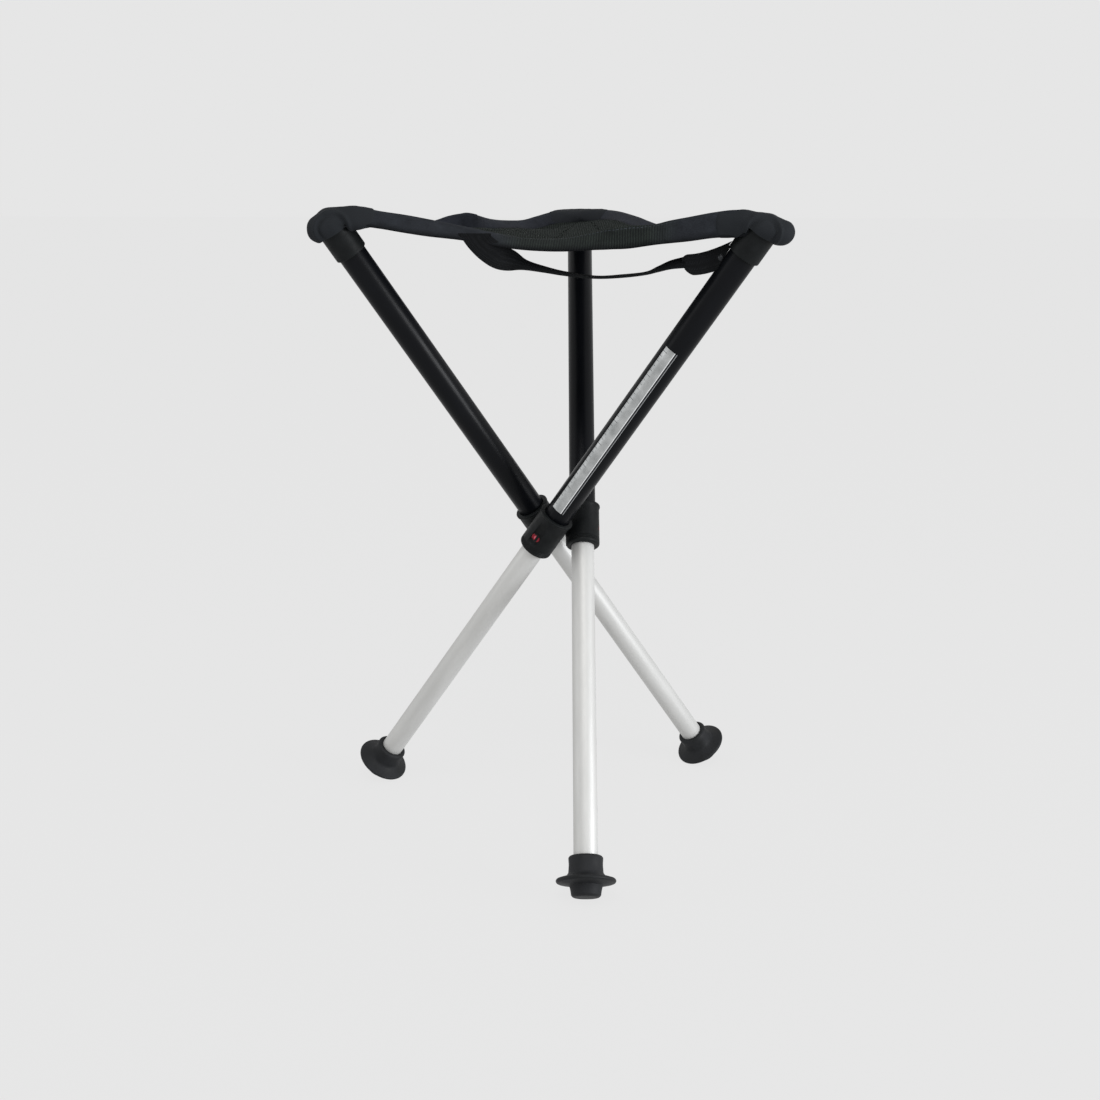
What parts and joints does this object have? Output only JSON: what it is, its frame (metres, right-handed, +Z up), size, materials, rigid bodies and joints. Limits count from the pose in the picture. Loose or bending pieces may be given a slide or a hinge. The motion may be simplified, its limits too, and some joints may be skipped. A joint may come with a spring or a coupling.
{
  "type": "collapsible telescopic stool",
  "caption": "Three-legged folding stool with telescopic crossed legs, push-button catches and a slung triangular mesh seat.",
  "frame": {"origin": "on the floor, in the middle of the stool's box", "axes": "+Z up, -Y towards the pictured front, +X to the right of it"},
  "size_m": [0.3786, 0.4216, 0.552],
  "materials": {
    "black_tube": "satin black anodised tube",
    "silver_tube": "satin natural anodised tube",
    "black_plastic": "fine-grained moulded black plastic",
    "pale_plastic": "smooth off-white low-friction plastic",
    "red_plastic": "smooth dark red plastic",
    "rubber": "matt black rubber",
    "rivet_steel": "plain steel",
    "spring_steel": "blue-grey spring steel",
    "mesh_cloth": "ribbed dark grey mesh cloth",
    "band_cloth": "close-woven black binding cloth",
    "webbing": "woven black webbing",
    "plate": "thin satin silver strip"
  },
  "bodies": {
    "hub": {"hub": "black_plastic", "pivot_rivet_a": "rivet_steel", "pivot_rivet_b": "rivet_steel", "pivot_rivet_c": "rivet_steel", "pivot_washer_a": "pale_plastic", "pivot_washer_b": "pale_plastic", "pivot_washer_c": "pale_plastic", "seat_panel": "mesh_cloth", "edge_band_ab": "band_cloth", "edge_band_bc": "band_cloth", "edge_band_ca": "band_cloth", "strap": "webbing"},
    "leg_a": {"upper_tube_a": "black_tube", "joint_collar_a": "black_plastic", "top_cap_a": "black_plastic", "corner_pocket_a": "band_cloth"},
    "lower_a": {"lower_tube_a": "silver_tube", "guide_bush_a": "pale_plastic", "catch_spring_a": "spring_steel", "foot_a": "rubber"},
    "button_a": {"push_button_a": "red_plastic"},
    "leg_b": {"upper_tube_b": "black_tube", "joint_collar_b": "black_plastic", "top_cap_b": "black_plastic", "corner_pocket_b": "band_cloth", "size_plate": "plate", "strap_tab": "webbing", "strap_rivet": "rivet_steel"},
    "lower_b": {"lower_tube_b": "silver_tube", "guide_bush_b": "pale_plastic", "catch_spring_b": "spring_steel", "foot_b": "rubber"},
    "button_b": {"push_button_b": "red_plastic"},
    "leg_c": {"upper_tube_c": "black_tube", "joint_collar_c": "black_plastic", "top_cap_c": "black_plastic", "corner_pocket_c": "band_cloth"},
    "lower_c": {"lower_tube_c": "silver_tube", "guide_bush_c": "pale_plastic", "catch_spring_c": "spring_steel", "foot_c": "rubber"},
    "button_c": {"push_button_c": "red_plastic"}
  },
  "joints": [
    {"name": "fold_a", "type": "hinge", "parent": "hub", "child": "leg_a", "pos_m": [0.0116, -0.00574, 0.26888], "axis": [-0.5, 0.866, 0], "range_deg": [0, 32.8], "deforming": ["seat_panel", "edge_band_ab", "edge_band_bc", "edge_band_ca", "strap"]},
    {"name": "slide_a", "type": "slide", "parent": "leg_a", "child": "lower_a", "axis": [-0.5115, -0.2953, 0.807], "range_m": [0, 0.24], "deforming": ["catch_spring_a"]},
    {"name": "press_a", "type": "slide", "parent": "leg_a", "child": "button_a", "axis": [0.5, -0.866, 0], "range_m": [0, 0.0015], "stiffness_N_per_m": 400, "springref_m": -0.002},
    {"name": "fold_b", "type": "hinge", "parent": "hub", "child": "leg_b", "pos_m": [0.0116, -0.00574, 0.26888], "axis": [-0.5, -0.866, 0], "range_deg": [0, 32.8]},
    {"name": "slide_b", "type": "slide", "parent": "leg_b", "child": "lower_b", "axis": [0.5115, -0.2953, 0.807], "range_m": [0, 0.2315], "deforming": ["catch_spring_b"]},
    {"name": "press_b", "type": "slide", "parent": "leg_b", "child": "button_b", "axis": [0.5, 0.866, 0], "range_m": [0, 0.0015], "stiffness_N_per_m": 400, "springref_m": -0.002},
    {"name": "fold_c", "type": "hinge", "parent": "hub", "child": "leg_c", "pos_m": [0.0116, -0.00574, 0.26888], "axis": [1, 0, 0], "range_deg": [0, 32.8]},
    {"name": "slide_c", "type": "slide", "parent": "leg_c", "child": "lower_c", "axis": [0, 0.5906, 0.807], "range_m": [0, 0.223], "deforming": ["catch_spring_c"]},
    {"name": "press_c", "type": "slide", "parent": "leg_c", "child": "button_c", "axis": [-1, 0, 0], "range_m": [0, 0.0015], "stiffness_N_per_m": 400, "springref_m": -0.002}
  ],
  "couplings": [
    {"joint": "fold_b", "follows": "fold_a", "ratio": 1},
    {"joint": "fold_c", "follows": "fold_a", "ratio": 1}
  ]
}
